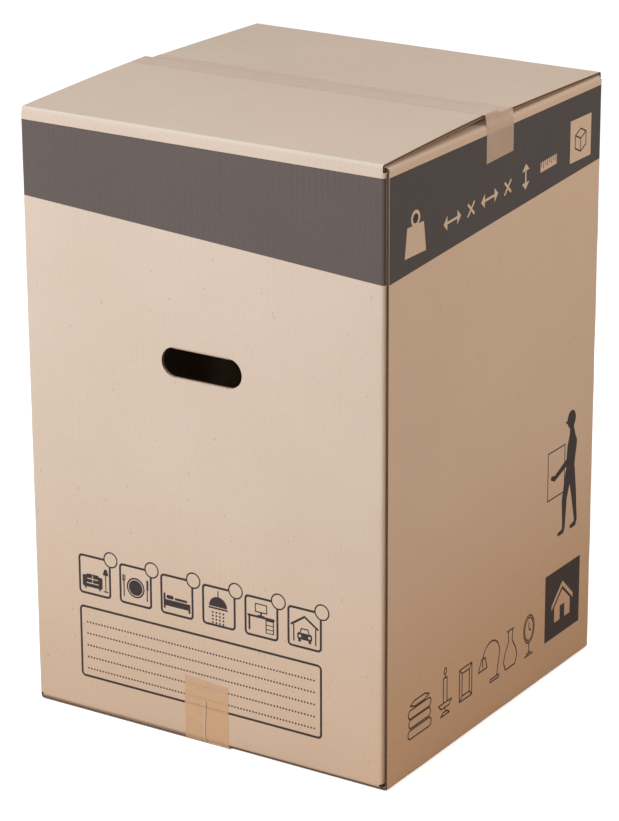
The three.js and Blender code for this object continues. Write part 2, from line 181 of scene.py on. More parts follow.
def foldedOnWall(w, along, normal, s, v, depth):
    length = w["reach"] - board["seamGap"] / 2
    over = np.maximum(v - w["top"], 0) + np.maximum(w["bottom"] - v, 0)
    side = np.where(v > (w["top"] + w["bottom"]) / 2, 1.0, -1.0)
    foot = np.where(side > 0, w["top"], w["bottom"])
    turn = np.minimum(over / r, quarter)
    flat = np.maximum(over - arcLength, 0)
    inwards = r * (1 - np.cos(turn)) + flat
    lift = r * np.sin(turn) + np.where(side > 0, riseAt(inwards, length, w["rise"]), 0)
    across = np.clip((s - w["from"]) / (w["to"] - w["from"]), 0, 1)
    climb = np.clip((v - w["bottom"]) / (w["top"] - w["bottom"]), 0, 1)
    bow = w["bow"] * np.sin(math.pi * across) * np.sin(math.pi * climb)
    scallop = board["creaseScallop"] * (0.5 + 0.5 * np.cos(4 * math.pi * s / board["flutePitch"]))
    wander = 0.5 * board["creaseWander"] * (1 + smoothNoise(s, v * 0, int(w["from"]) + 3))
    dent = (scallop + wander - board["creaseSharp"]) * np.sin(2 * turn) ** 2
    sink = depth + bow + dent
    normalOut, normalUp = np.cos(turn), np.sin(turn) * side
    point = np.zeros(s.shape + (3,))
    shift = -inwards - sink * normalOut
    for axis in (0, 1):
        point[:, axis] = w["start"][axis] + along[axis] * (s - w["from"]) + normal[axis] * shift
    point[:, 2] = np.where(over > 0, foot + side * lift, v) - sink * normalUp
    return point


# Outlines for the print, all as lists of points.
def arcPoints(x, y, radius, start, end, steps):
    angles = np.linspace(start, end, steps + 1)
    return [(x + radius * math.cos(a), y + radius * math.sin(a)) for a in angles]


def disc(x, y, radius, steps=28, squash=1.0):
    return [(x + (px - x) * squash, py) for px, py in arcPoints(x, y, radius, 0, 4 * quarter, steps)[:-1]]


def block(left, bottom, width, height, radius=0.0, steps=5):
    right, top = left + width, bottom + height
    if radius <= 0:
        return [(left, bottom), (right, bottom), (right, top), (left, top)]
    points = []
    centres = (
        (left + radius, bottom + radius),
        (right - radius, bottom + radius),
        (right - radius, top - radius),
        (left + radius, top - radius),
    )
    for i, (x, y) in enumerate(centres):
        points += arcPoints(x, y, radius, (i + 2) * quarter, (i + 3) * quarter, steps)
    return points


# A limb with a round end of its own width at each point.
def tapered(points, widths, steps=9):
    shapes = []
    ends = list(zip(points, widths))
    for ((x0, y0), wide), ((x1, y1), narrow) in zip(ends, ends[1:]):
        angle = math.atan2(y1 - y0, x1 - x0)
        start = arcPoints(x0, y0, wide / 2, angle + quarter, angle + 3 * quarter, steps)
        shapes.append(start + arcPoints(x1, y1, narrow / 2, angle - quarter, angle + quarter, steps))
    return shapes


def stroke(points, width, steps=5):
    return tapered(points, [width] * len(points), steps)


def ring(outline, inner):
    return [("ink", outline), ("bare", inner)]


class Sheet:
    # Painter's list of outlines on the flat blank: the last one over a place decides it.
    def __init__(self):
        self.layers = []

    def add(self, kind, outline):
        self.layers.append((kind, outline))

    def draw(self, wall, shapes, place=(0, 0)):
        for kind, outline in shapes:
            self.add(kind, [flatPlace(wall, place[0] + x, place[1] + y) for x, y in outline])


def ink(*outlines):
    return [("ink", outline) for outline in outlines]


def bare(*outlines):
    return [("bare", outline) for outline in outlines]


cutting = {
    "holeWidth": 91.0,
    "holeHeight": 30.0,
    "holeBelowTop": 225.5,
    "nick": 1.2,
    "lipWave": 0.32,
    "lipBelow": 9.0,
    "lipStep": 0.5,
}


def blankOutline():
    points = []
    for name in ("right", "back", "left", "front"):
        w = walls[name]
        length = w["reach"] - board["seamGap"] / 2
        w["flapTip"] = arcLength + length - r
        w["flaps"] = {}
        for side, sign in (("top", 1), ("bottom", -1)):
            outer = (name in ("front", "back")) == (side == "top")
            inset = board["outerFlapInset" if outer else "innerFlapInset"] - r
            start = max(inset, 0.3) if name == "right" else inset
            end = inset + board["jointExtra"] - t if name == "front" else inset
            w["flaps"][side] = (w["from"] + start, w["to"] - end, w[side], sign)
    order = ("right", "back", "left", "front")
    for name in order:
        w = walls[name]
        start, end, foot, _ = w["flaps"]["bottom"]
        points += [(start, wallBottom), (start, foot - w["flapTip"])]
        points += [(end, foot - w["flapTip"]), (end, wallBottom)]
    points += [(blankLength, wallBottom + 8), (blankLength, wallTop - 8)]
    points.append((walls["tab"]["from"], wallTop))
    for name in reversed(order):
        w = walls[name]
        start, end, foot, _ = w["flaps"]["top"]
        points += [(end, wallTop), (end, foot + w["flapTip"])]
        points += [(start, foot + w["flapTip"]), (start, wallTop)]
    return [(0.0, wallBottom)] + points + [(0.0, wallTop)]


band = {
    "topBelow": 12.5,
    "bottomBelow": 99.5,
    "slant": 25.0,
    "signBelow": 73.5,
    "signStart": -103.0,
    "signPitch": 69.0,
    "signSize": (32.0, 14.0),
    "crossArm": 5.6,
    "line": 2.5,
}


def bandOutline():
    high = topLevel - band["topBelow"]
    middle = topLevel - band["bottomBelow"]
    low = [(0.0, middle - band["slant"] / 2)]
    swing = {"right": 1, "back": -1, "left": 1, "front": -1}
    for name, sign in swing.items():
        end = walls[name]["to"] + (arcLength if name == "front" else arcLength / 2)
        low.append((end, middle + sign * band["slant"] / 2))
    return [(0.0, high)] + low + [(low[-1][0], high)]


def arrow(width, height, bar):
    reach, head = width / 2, height / 2
    side = [(-reach, 0), (head - reach, -head), (head - reach, -bar)]
    side += [(reach - head, -bar), (reach - head, -head)]
    return side + [(-x, -y) for x, y in side]


def bandSigns(sheet):
    slope = band["slant"] / (2 * halfDepth)
    level = topLevel - band["signBelow"]
    width, height = band["signSize"]

    def tilted(outline, along):
        centre = band["signStart"] + along
        return [(centre + x, level + slope * (centre + x) + y) for x, y in outline]

    shapes = []
    for i in range(3):
        outline = arrow(width, height, band["line"] / 2)
        if i == 2:
            outline = [(-y, x) for x, y in arrow(width * 0.8, height, band["line"] / 2)]
        shapes += bare(tilted(outline, width / 2 + i * band["signPitch"]))
    arm = band["crossArm"]
    for i in range(2):
        for turn in (-1, 1):
            for piece in stroke([(-arm, -arm * turn), (arm, arm * turn)], band["line"], 3):
                shapes += bare(tilted(piece, width / 2 + (i + 0.5) * band["signPitch"]))
    ruler = [(0, -5), (32, -5), (32, 5)]
    for i in range(8):
        x = 32 - i * 4
        drop = 0 if i % 2 else -2.2
        ruler += [(x - 1.4, 5), (x - 1.4, drop), (x - 2.6, drop), (x - 2.6, 5)]
    shapes += bare(tilted(ruler + [(0, 5)], 183))
    sheet.draw("right", shapes)

    # A plain weight with its ring.
    weight = [(-18.8, 0), (18.8, 0), (14.6, 28.5), (-14.6, 28.5)]
    shapes = bare(disc(0, 34.5, 8)) + ink(disc(0, 34.5, 4.7)) + bare(weight)
    sheet.draw("right", shapes, (-153, topLevel - 95))

    # A light square with a small box drawn in it.
    shapes = bare(block(-21.2, -21.2, 42.4, 42.4, 0.5, 2))
    for line in (
        [(-11, 5), (0, 0), (11, 5), (0, 10), (-11, 5), (-11, -8), (0, -13), (11, -8), (11, 5)],
        [(0, 0), (0, -13)],
    ):
        shapes += ink(*stroke(line, 1.5, 3))
    sheet.draw("right", shapes, (160.2, topLevel - 57.5))


carrier = {
    "place": (138.5, 147.0),
    "box": (-31, 45, 36, 52),
    "boxLine": 1.5,
    "limbs": (
        ([(17.5, 119), (18.5, 106)], (8, 9)),
        ([(19, 104), (19.5, 92), (17.5, 80), (16, 66)], (11, 20, 19, 17)),
        ([(19, 64), (24.5, 38), (29.5, 9)], (14, 10.5, 6)),
        ([(29.5, 8), (28, 3.6), (20, 2.8)], (6.5, 6, 4.6)),
        ([(13, 64), (5, 37), (4.5, 9)], (14, 10.5, 6)),
        ([(4.5, 8), (3, 3.4), (-6, 2.6)], (6.5, 5.6, 4.2)),
        ([(19, 99), (12.5, 77), (-16, 66)], (9.5, 8, 5.5)),
        ([(-16, 66), (-22, 68)], (6, 4.5)),
    ),
}


def carrierFigure(sheet):
    x, y, width, height = carrier["box"]
    line = carrier["boxLine"]
    inner = block(x + line, y + line, width - 2 * line, height - 2 * line)
    shapes = ring(block(x, y, width, height), inner)
    for points, widths in carrier["limbs"]:
        shapes += ink(*tapered(points, widths))
    shapes += ink(disc(17, 119.5, 9.5, 32, 0.92), block(5.5, 117, 4, 3, 1.2, 3))
    sheet.draw("right", shapes, carrier["place"])


def badge(sheet):
    shapes = ink(block(0, 0, 72.7, 72.7, 0.8, 2))
    shapes += bare([(14, 36), (36.4, 57), (58.7, 36), (58.7, 31), (36.4, 51.5), (14, 31)])
    shapes += bare([(20, 16), (52.7, 16), (52.7, 33), (36.4, 47.5), (20, 33)])
    shapes += ink(block(31.5, 16, 10, 15))
    sheet.draw("right", shapes, (107.3, 38.5))


front = {
    "panel": (-150.0, 38.5, 283.0, 77.0, 5.0),
    "line": 2.4,
    "tileBottom": 128.0,
    "tileGap": 10.1,
    "tileHeight": 41.8,
    "tileRadius": 4.6,
    "ringRadius": 8.5,
    "ringLine": 1.5,
    "dotLines": (98.0, 85.8, 73.2, 60.6, 48.3),
    "dotFrom": -142.0,
    "dotTo": 126.0,
    "dotPitch": 3.486,
    "dotSize": (1.95, 1.9),
}


def writingPanel(sheet):
    left, bottom, width, height, radius = front["panel"]
    line = front["line"]
    inner = block(left + line, bottom + line, width - 2 * line, height - 2 * line, radius - line)
    shapes = ring(block(left, bottom, width, height, radius), inner)
    dotWidth, dotHeight = front["dotSize"]
    for level in front["dotLines"]:
        for i in range(int((front["dotTo"] - front["dotFrom"]) / front["dotPitch"]) + 1):
            x = front["dotFrom"] + i * front["dotPitch"]
            shapes += ink(block(x, level - dotHeight / 2, dotWidth, dotHeight, 0.5, 1))
    sheet.draw("front", shapes)


def sofaSign():
    shapes = ink(block(6, 8, 21, 9, 2), block(8.5, 13, 16, 9, 2.5))
    shapes += ink(block(4.5, 8, 5, 12.5, 2), block(23.5, 8, 5, 12.5, 2))
    shapes += bare(block(10, 16.4, 13, 0.9), block(16.1, 12, 0.8, 9), block(9.2, 11.8, 14.6, 0.9))
    shapes += ink(*stroke([(32.4, 8), (32.4, 25)], 1.2), block(7, 6, 2, 2.5), block(24, 6, 2, 2.5))
    shapes += ink([(28.8, 24), (36, 24), (34, 30.5), (30.8, 30.5)])
    return shapes + ink(*stroke([(30.2, 6.8), (34.8, 6.8)], 1.3))


def plateSign():
    shapes = ink(disc(19.4, 19, 10.6, 36)) + bare(disc(19.4, 19, 8.9, 36)) + ink(disc(19.4, 19, 8.1, 36))
    shapes += ink(*stroke([(5.5, 8), (5.5, 30)], 1.4), *stroke([(33, 8), (33, 20)], 1.4))
    shapes += ink(block(32.2, 19, 2.4, 11, 1))
    for x in (4, 5.5, 7):
        shapes += ink(*stroke([(x, 25), (x, 30)], 0.8))
    return shapes + ink(*stroke([(4, 25), (5.5, 23.6), (7, 25)], 0.9))


def bedSign():
    shapes = ink(block(3.5, 9, 31.5, 6.5, 1), block(3.5, 6, 2.4, 16, 0.8), block(32.6, 6, 2.4, 9, 0.8))
    return shapes + ink(block(7, 16.4, 8.5, 4, 1.8), block(16.6, 16.4, 15, 2.6, 1.2))


def showerSign():
    dome = arcPoints(18.5, 20.5, 10.5, 0, 2 * quarter, 18)
    shapes = ink(dome, block(7.4, 18, 22.2, 1.8, 0.6), *stroke([(18.5, 30), (18.5, 37)], 1.3))
    for row in range(4):
        for column in range(4):
            shapes += ink(block(11.2 + column * 4.1, 13.4 - row * 3.6, 2, 2, 0.5, 2))
    return shapes


def deskSign():
    shapes = ink(block(3.5, 20, 31, 2.4), block(4.5, 6, 2.2, 14), block(24, 6, 9.6, 14))
    shapes += ink(block(12, 25.5, 14, 9.5, 0.8), block(18, 22.4, 2, 3.4), block(15, 22, 8, 1.2))
    shapes += bare(block(13.2, 26.8, 11.6, 7, 0.4))
    return shapes + bare(block(25.2, 15.2, 7.2, 3.4), block(25.2, 10.8, 7.2, 3.4), block(25.2, 7, 7.2, 2.8))


def garageSign():
    roof = stroke([(4.6, 23), (19.4, 33), (34.2, 23)], 2.2)
    shapes = ink(*roof, block(6.4, 6, 1.5, 17), block(31, 6, 1.5, 17))
    shapes += ink(block(11, 9, 16.8, 7, 2), [(13.4, 15), (25.4, 15), (23.6, 21), (15.2, 21)])
    shapes += bare([(15, 16), (23.8, 16), (22.7, 19.7), (16.1, 19.7)])
    shapes += bare(disc(14, 12.4, 1.4), disc(24.8, 12.4, 1.4))
    return shapes + ink(block(12, 6.4, 3.2, 4, 1), block(23.6, 6.4, 3.2, 4, 1))


def roomTiles(sheet):
    signs = (sofaSign, plateSign, bedSign, showerSign, deskSign, garageSign)
    left, _, width, _, _ = front["panel"]
    line, gap, height = front["line"], front["tileGap"], front["tileHeight"]
    size = (width - (len(signs) - 1) * gap) / len(signs)
    for i, sign in enumerate(signs):
        inner = block(line, line, size - 2 * line, height - 2 * line, front["tileRadius"] - line)
        shapes = ring(block(0, 0, size, height, front["tileRadius"]), inner)
        shapes += sign()
        radius = front["ringRadius"]
        shapes += ring(disc(size, height, radius), disc(size, height, radius - front["ringLine"]))
        sheet.draw("front", shapes, (left + i * (size + gap), front["tileBottom"]))


lineRow = {
    "line": 1.7,
    "lefts": (-161, -107, -64, -21, 22, 64),
    "bottom": 38.2,
}


# The row of fragile goods: blankets, candle, picture frame, lamp, vase and clock.
def lineIcons(sheet):
    def drawn(points):
        return ink(*stroke(points, lineRow["line"], 3))

    def loop(outline):
        return drawn(outline + outline[:1])

    blankets = []
    for level, width in ((0, 43), (11, 40), (21, 42)):
        blankets += loop(block(21.5 - width / 2, level, width, 9, 4, 4))
    blankets += drawn([(4, 34.5), (12, 31.6), (31, 31.6), (39, 34.5), (31, 37.6), (12, 37.6), (4, 34.5)])
    candle = loop(block(12, 13, 7, 26, 0.8, 2)) + drawn([(15.5, 39), (15.5, 42)])
    candle += loop(disc(15.5, 46, 3.4, 14, 0.6)) + loop([(3, 13), (28, 13), (23, 8), (8, 8)])
    candle += drawn([(15.5, 8), (15.5, 3)]) + loop([(7, 0), (24, 0), (19, 3.4), (12, 3.4)])
    picture = loop(block(0, 2, 24, 34)) + loop(block(5, 7, 14, 24)) + drawn([(0, 2), (5, 7)])
    picture += drawn([(24, 2), (19, 7)]) + drawn([(0, 36), (5, 31)]) + drawn([(24, 36), (19, 31)])
    lamp = drawn(arcPoints(19, 27, 17, 0, 2.2 * quarter, 14)) + drawn([(36, 27), (30, 3)])
    lamp += loop(block(17, 0, 18, 3, 1.2, 2)) + loop([(-6, 19), (11, 19), (7, 31), (0, 31)])
    vase = drawn([(10, 42), (11, 30), (4, 20), (1, 11), (5, 2)]) + drawn([(5, 2), (24, 2)])
    vase += drawn([(24, 2), (28, 11), (25, 20), (18, 30), (19, 42)]) + drawn([(8, 42), (21, 42)])
    clock = loop(disc(10.5, 29, 15, 24, 0.72)) + loop(disc(10.5, 29, 12.4, 22, 0.7))
    clock += drawn([(10.5, 29), (10.5, 36)]) + drawn([(10.5, 29), (14.5, 26.5)])
    clock += drawn([(10.5, 14), (10.5, 3)]) + drawn([(2, 0.6), (19, 0.6)]) + drawn([(6, 3), (15, 3)])
    icons = (blankets, candle, picture, lamp, vase, clock)
    for left, icon in zip(lineRow["lefts"], icons):
        sheet.draw("right", icon, (left, lineRow["bottom"]))


def stadium(x, y, width, height, steps=14):
    radius = height / 2
    right = arcPoints(x + width / 2 - radius, y, radius, -quarter, quarter, steps)
    return right + arcPoints(x - width / 2 + radius, y, radius, quarter, 3 * quarter, steps)


# The lower lip shows the waves of the fluting where the die crushed it.
def wavyLip(outline, level):
    dense = []
    for a, b in zip(np.array(outline), np.roll(outline, -1, 0)):
        count = max(1, int(np.linalg.norm(b - a) / cutting["lipStep"]))
        dense += [tuple(a + (b - a) * k / count) for k in range(count)]
    wave = 4 * math.pi / board["flutePitch"]
    lip = level - cutting["lipBelow"]
    return [(x, y + (cutting["lipWave"] * (1 + math.sin(wave * x)) if y < lip else 0)) for x, y in dense]


def handHoles(sheet):
    level = topLevel - cutting["holeBelowTop"]
    width, height = cutting["holeWidth"], cutting["holeHeight"]
    hinge = width - height
    for wall in ("front", "back"):
        sheet.draw(wall, [("void", wavyLip(stadium(0, level, width, height), level))])
        nick = block(-hinge / 2, level + height / 2 - 0.2, hinge, cutting["nick"] + 0.2)
        sheet.draw(wall, [("void", nick)])


# Points inside the blank, closest together across its folds, so that the walls can bend.
def gridPoints():
    step = board["flutePitch"] / 4
    points = []
    rows = np.linspace(0, arcLength, 6)
    for name in ("right", "back", "left", "front"):
        w = walls[name]
        for start, end, foot, side in w["flaps"].values():
            across = np.arange(max(start, w["from"]) + 0.9, min(end, w["to"]) - 0.8, step)
            shared = step * np.round(across / step)
            for row in rows:
                points += [(float(s), foot + side * float(row)) for s in shared[1:-1]]
            for row in np.linspace(arcLength + 3, w["flapTip"] - 2, 16):
                wide = np.linspace(start + 4, end - 4, 18)
                points += [(float(s), foot + side * float(row)) for s in wide]
        for s in np.linspace(w["from"] + 9, w["to"] - 9, 20):
            points += [(float(s), float(v)) for v in np.linspace(wallBottom + 9, wallTop - 9, 30)]
        for s in w["to"] + rows:
            points += [(float(s), float(v)) for v in np.linspace(wallBottom + 2, wallTop - 2, 150)]
    return points


# Adds points to long outline sides, close together where the board will be folded.
def withStations(outline, step=6.0):
    rows = np.linspace(0, arcLength, 6)
    uprights = np.concatenate([walls[name]["to"] + rows for name in ("right", "back", "left", "front")])
    levels = {w[key] for w in walls.values() for key in ("top", "bottom")}
    folds = np.concatenate([level + (1 if level > 300 else -1) * rows for level in levels])
    points = []
    for a, b in zip(np.array(outline), np.roll(outline, -1, 0)):
        shares = set(np.linspace(0, 1, max(1, math.ceil(np.linalg.norm(b - a) / step)) + 1)[:-1])
        for axis, stations in ((0, uprights), (1, folds)):
            if abs(b[axis] - a[axis]) > 1:
                share = (stations - a[axis]) / (b[axis] - a[axis])
                shares |= set(share[(share > 0.0005) & (share < 0.9995)])
        points += [tuple(a + (b - a) * share) for share in sorted(shares)]
    return points


# Cuts the whole sheet into triangles at once, each with the kind that was drawn last over it.
def cutBlank(sheet):
    verts, faces = [Vector(p) for p in gridPoints()], []
    for _, drawn in sheet.layers:
        outline = withStations(drawn)
        x, y = np.array(outline).T
        turning = np.sum(x * np.roll(y, -1) - np.roll(x, -1) * y)
        faces.append(list(range(len(verts), len(verts) + len(outline))))
        verts += [Vector(p) for p in (outline if turning > 0 else outline[::-1])]
    flat, _, triangles, _, _, owners = delaunay_2d_cdt(verts, [], faces, 0, 1e-4, True)
    kinds = [kind for kind, _ in sheet.layers]
    points = np.array([tuple(p) for p in flat])
    kept = {"bare": [], "band": [], "ink": []}
    for triangle, owner in zip(triangles, owners):
        kind = kinds[max(owner)] if owner else "void"
        if kind != "void":
            kept[kind].append(list(triangle))
    return points, kept


# The closed rows of points around the outer edge and each hole.
def edgeLoops(triangles):
    seen = {}
    for a, b, c in triangles:
        for edge in ((a, b), (b, c), (c, a)):
            seen[edge] = True
    following = {a: b for a, b in seen if (b, a) not in seen}
    loops = []
    while following:
        first, current = following.popitem()
        loop = [first]
        while current != first:
            loop.append(current)
            current = following.pop(current)
        loops.append(loop)
    return loops


# The direction into the board at each point of a cut edge, with the board on the left.
def inward(points):
    ahead = np.roll(points, -1, 0) - points
    ahead /= np.maximum(np.linalg.norm(ahead, axis=1, keepdims=True), 1e-9)
    normals = np.stack([-ahead[:, 1], ahead[:, 0]], 1)
    both = normals + np.roll(normals, 1, 0)
    return both / np.maximum((both**2).sum(1, keepdims=True) / 2, 0.5)


def newPiece(name, verts, faces, slots, materialIndex=None):
    mesh = bpy.data.meshes.new(name)
    mesh.from_pydata((np.asarray(verts) * mm).tolist(), [], faces)
    for material in slots:
        mesh.materials.append(material)
    if materialIndex is not None:
        mesh.polygons.foreach_set("material_index", materialIndex)
    mesh.update()
    mesh.shade_smooth()
    mesh.set_sharp_from_angle(angle=math.radians(38))
    piece = bpy.data.objects.new(name, mesh)
    bpy.context.scene.collection.objects.link(piece)
    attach(piece, "root")
    return piece


# Two liners and the cut edge between them. Its materials are, in order: bare, band and sign for
# flutes across x and across y in turn, then the cut liner and a dark face painted as the shade inside the
# flutes.
def foldBlank(points, kept, materials):
    skin = kept["bare"] + kept["band"] + kept["ink"]
    look = [2 * k for k, triangles in enumerate(kept.values()) for _ in triangles]
    used = sorted({i for triangle in skin for i in triangle})
    index = {old: new for new, old in enumerate(used)}
    flat = points[used]
    skin = [[index[i] for i in triangle] for triangle in skin]
    count = len(used)
    s, v = flat[:, 0], flat[:, 1]
    verts = [folded(s, v, 0.0), folded(s, v, t)]
    faces = skin + [[i + count for i in reversed(triangle)] for triangle in skin]
    onSide = flutesAcrossY(np.array([flat[triangle].mean(0)[0] for triangle in skin]))
    slot = [first + int(side) for first, side in zip(look, onSide)]
    slot += [int(side) for side in onSide]
    liner, recess = board["liner"], board["edgeRecess"]
    base = 2 * count
    loops = edgeLoops(skin)
    for loop in loops:
        ringPoints = flat[loop]
        into = inward(ringPoints) * recess
        layers = ((0, liner), (1, liner), (1, t - liner), (0, t - liner))
        for deep, depth in layers:
            moved = ringPoints + into * deep
            verts.append(folded(moved[:, 0], moved[:, 1], depth))
        size = len(loop)
        rows = [loop] + [list(range(base + k * size, base + (k + 1) * size)) for k in range(4)]
        rows.append([i + count for i in loop])
        base += 4 * size
        for k, (upper, lower) in enumerate(zip(rows, rows[1:])):
            for i in range(size):
                j = (i + 1) % size
                faces.append([upper[j], upper[i], lower[i], lower[j]])
                # Slot 7 is the set-back face painted as the shade inside the flutes.
                slot.append(7 if k == 2 else 6)
    piece = newPiece("carton_sheet", np.concatenate(verts), faces, materials, slot)
    return piece, [flat[loop] for loop in loops]


def flutesAcrossY(s):
    side = np.zeros(s.shape, bool)
    for name in ("right", "left", "tab"):
        side |= (s > walls[name]["from"] - arcLength / 2) & (s < walls[name]["to"] + arcLength / 2)
    return side


# The fluted middle paper where a cut edge shows it, as a thin wavy ribbon.
def fluting(loops, material):
    verts, faces = [], []
    amplitude = t / 2 - board["liner"] - board["fluteWall"] / 2
    base = 0
    for loop in loops:
        closed = np.vstack([loop, loop[:1]])
        steps = np.linalg.norm(np.diff(closed, axis=0), axis=1)
        place = np.concatenate([[0], np.cumsum(steps)])
        count = max(8, int(place[-1] / board["fluteStep"]))
        samples = np.linspace(0, place[-1], count, endpoint=False)
        flat = np.stack([np.interp(samples, place, closed[:, k]) for k in (0, 1)], 1)
        into = inward(flat)
        ragged = board["ragged"] * (1.25 + smoothNoise(flat[:, 0] * 9, flat[:, 1] * 9, 5))
        wave = t / 2 + amplitude * np.sin(2 * math.pi * flat[:, 0] / board["flutePitch"])
        half = board["fluteWall"] / 2
        size = len(flat)
        for deep, side in ((0, -half), (0, half), (1, half), (1, -half)):
            moved = flat + into * (board["fluteDepth"] * deep * 0.5 + ragged * (1 - deep))[:, None]
            verts.append(folded(moved[:, 0], moved[:, 1], wave + side))
        for k in range(4):
            upper, lower = base + k * size, base + (k + 1) % 4 * size
            for i in range(size):
                j = (i + 1) % size
                faces.append([upper + i, upper + j, lower + j, lower + i])
        base += 4 * size
    return newPiece("fluting", np.concatenate(verts), faces, [material])


# A thin closed sheet from a grid of points on its underside and one on its outer face.
def gridSheet(name, inner, outer, material):
    rows, columns = inner.shape[:2]
    count = rows * columns
    at = np.arange(count).reshape(rows, columns)
    faces = []

    def quads(a, b, c, d):
        faces.extend(np.stack([q.ravel() for q in (a, b, c, d)], 1).tolist())

    top, low = at + count, at
    quads(top[:-1, :-1], top[1:, :-1], top[1:, 1:], top[:-1, 1:])
    quads(low[:-1, :-1], low[:-1, 1:], low[1:, 1:], low[1:, :-1])
    quads(low[:-1, 0], low[1:, 0], top[1:, 0], top[:-1, 0])
    quads(top[:-1, -1], top[1:, -1], low[1:, -1], low[:-1, -1])
    quads(low[0, 1:], low[0, :-1], top[0, :-1], top[0, 1:])
    quads(low[-1, :-1], low[-1, 1:], top[-1, 1:], top[-1, :-1])
    verts = np.concatenate([inner.reshape(-1, 3), outer.reshape(-1, 3)])
    verts = np.clip(verts, np.array(cadBounds[0]) / mm + 0.005, np.array(cadBounds[1]) / mm - 0.005)
    return newPiece(name, verts, faces, [material])


tapes = {
    "width": 50.8,
    "rows": 33,
    "thickness": 0.1,
    "lift": 0.12,
    "foldStart": 1.2,
    "topDrop": 39.5,
    "topSkew": 0.03,
    "bottomClimb": 68.0,
    "bottomSkew": 1.5,
    "foldRadius": 2.2,
    "step": 1.5,
}


# Walks a tape's path, given as (run, level) corners, with rounded corners and even steps.
def tapePath(corners, step):
    corners = np.array(corners, float)
    dense = []
    for a, b in zip(corners, corners[1:]):
        count = max(2, int(np.linalg.norm(b - a) / 0.4))
        dense.append(a + (b - a) * np.linspace(0, 1, count, endpoint=False)[:, None])
    dense = np.vstack(dense + [corners[-1:]])
    reach = int(tapes["foldRadius"] / 0.4)
    padded = np.vstack([np.repeat(dense[:1], reach, 0), dense, np.repeat(dense[-1:], reach, 0)])
    kernel = np.hanning(2 * reach + 1)
    kernel /= kernel.sum()
    smooth = np.stack([np.convolve(padded[:, k], kernel, "valid") for k in (0, 1)], 1)
    smooth[0], smooth[-1] = dense[0], dense[-1]
    place = np.concatenate([[0], np.cumsum(np.linalg.norm(np.diff(smooth, axis=0), axis=1))])
    samples = np.linspace(0, place[-1], int(place[-1] / step))
    return np.stack([np.interp(samples, place, smooth[:, k]) for k in (0, 1)], 1)


def tapeGrid(paths, across, bulge):
    count = min(len(path) for path in paths)
    paths = [path[np.linspace(0, len(path) - 1, count).round().astype(int)] for path in paths]
    inner = np.zeros((count, len(across), 3))
    outer = inner.copy()
    for j, path in enumerate(paths):
        tangent = np.gradient(path, axis=0)
        tangent /= np.linalg.norm(tangent, axis=1, keepdims=True)
        normal = np.stack([-tangent[:, 1], tangent[:, 0]], 1)
        raised = bulge[:count, j][:, None] * normal
        for grid, lift in ((inner, 0.0), (outer, tapes["thickness"])):
            moved = path + raised + normal * lift
            grid[:, j, 0], grid[:, j, 1], grid[:, j, 2] = moved[:, 0], across[j], moved[:, 1]
    return inner, outer


def tapeCorners(reach, endLevel, foldLevel, flapLevel, bow):
    face = reach + tapes["lift"]
    half = [
        (face - bow, endLevel),
        (face, foldLevel),
        (reach - board["outerFlapInset"] + 0.1, flapLevel + tapes["lift"] + 0.15),
        (reach - board["outerFlapInset"] - 9, flapLevel + tapes["lift"]),
    ]
    return [(-run, level) for run, level in half] + half[::-1]


# Each spot is a ridge: its place along and across, its length, width, lift and slant.
def wrinkles(rows, columns, seed, spots):
    rng = np.random.default_rng(seed)
    i, j = np.meshgrid(np.linspace(0, 1, rows), np.linspace(-1, 1, columns), indexing="ij")
    height = 0.05 * (1 + np.sin(i * 90 + 3 * j + rng.uniform(0, 6)) * np.sin(j * 5 + i * 21))
    for place, side, length, width, lift, slant in spots:
        along = (i - place) / length
        offset = (j - side - slant * along) / width
        height += lift * np.exp(-(offset**2)) * np.exp(-(along**4))
    return height


def topTape(material):
    half = tapes["width"] / 2
    length = halfDepth - board["seamGap"] / 2
    across = np.linspace(-half, half, tapes["rows"])
    rise = board["rise"]
    paths = []
    for y in across:
        front = topLevel + riseAt(min(halfDepth + y, length), length, rise["front"])
        back = topLevel + riseAt(min(halfDepth - y, length), length, rise["back"])
        share = np.clip((y + 1) / (rise["front"] - rise["back"] + 2), 0, 1)
        share = share * share * (3 - 2 * share)
        ridge = topLevel + rise["front"]
        level = front if y < -1 else ridge + (back - ridge) * share
        if y > 1:
            level = max(level, back)
        end = topLevel - tapes["topDrop"] + tapes["topSkew"] * y
        corners = tapeCorners(halfWidth, end, wallTop + tapes["foldStart"], level, 0.1)
        paths.append(tapePath(corners, tapes["step"]))
    count = min(len(path) for path in paths)
    spots = [
        (0.2, -0.3, 0.03, 0.10, 0.35, 0.5),
        (0.17, 0.1, 0.02, 0.08, 0.3, -0.4),
        (0.24, 0.3, 0.025, 0.1, 0.3, 0.2),
        (0.6, 0.05, 0.08, 0.12, 0.25, 0.1),
        (0.45, -0.1, 0.06, 0.1, 0.2, -0.1),
        (0.8, 0.0, 0.05, 0.1, 0.25, 0.2),
    ]
    inner, outer = tapeGrid(paths, across, wrinkles(count, len(across), 8, spots))
    return gridSheet("top_seam_tape", inner, outer, material)


